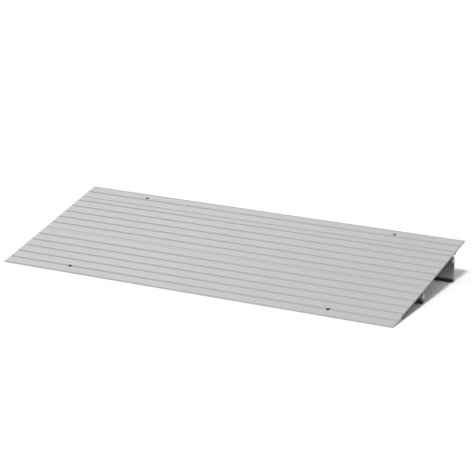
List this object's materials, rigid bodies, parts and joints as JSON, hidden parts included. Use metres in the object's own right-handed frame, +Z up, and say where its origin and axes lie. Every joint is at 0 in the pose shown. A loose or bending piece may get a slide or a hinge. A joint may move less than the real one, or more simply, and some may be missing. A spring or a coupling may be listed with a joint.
{
  "type": "threshold ramp",
  "caption": "Low threshold ramp of hinged, grooved aluminium planks that slope from the floor up to a sill, carried on full-width swivelling legs.",
  "frame": {"origin": "on the floor, midway along the width and midway between the front lip and the back edge", "axes": "+X along the width, +Y from the front lip up the ramp to the back edge, +Z up"},
  "size_m": [0.9144, 0.3712, 0.0815],
  "materials": {
    "deck_aluminium": "mill finish, satin, with fine lines along the planks",
    "leg_aluminium": "mill finish, satin",
    "black_rubber": "matt",
    "steel": "zinc plated"
  },
  "bodies": {
    "middle_deck": {"middle_plank": "deck_aluminium"},
    "entry_deck": {"entry_plank": "deck_aluminium"},
    "top_deck": {"top_plank": "deck_aluminium"},
    "short_support": {"short_leg": "leg_aluminium", "short_foot_strip": "black_rubber", "short_leg_set_screws": "steel"},
    "tall_support": {"tall_leg": "leg_aluminium", "tall_foot_strip": "black_rubber", "tall_leg_set_screws": "steel"}
  },
  "joints": [
    {"name": "entry_hinge", "type": "hinge", "parent": "middle_deck", "child": "entry_deck", "pos_m": [0, -0.01888, 0.03407], "axis": [1, 0, 0], "range_deg": [-6, 8]},
    {"name": "top_hinge", "type": "hinge", "parent": "middle_deck", "child": "top_deck", "pos_m": [0, 0.13351, 0.06693], "axis": [1, 0, 0], "range_deg": [-8, 6]},
    {"name": "short_leg_swivel", "type": "hinge", "parent": "entry_deck", "child": "short_support", "pos_m": [0, -0.01496, 0.01588], "axis": [1, 0, 0], "range_deg": [-20, 10]},
    {"name": "tall_leg_swivel", "type": "hinge", "parent": "top_deck", "child": "tall_support", "pos_m": [0, 0.14299, 0.04944], "axis": [1, 0, 0], "range_deg": [-20, 10]}
  ]
}
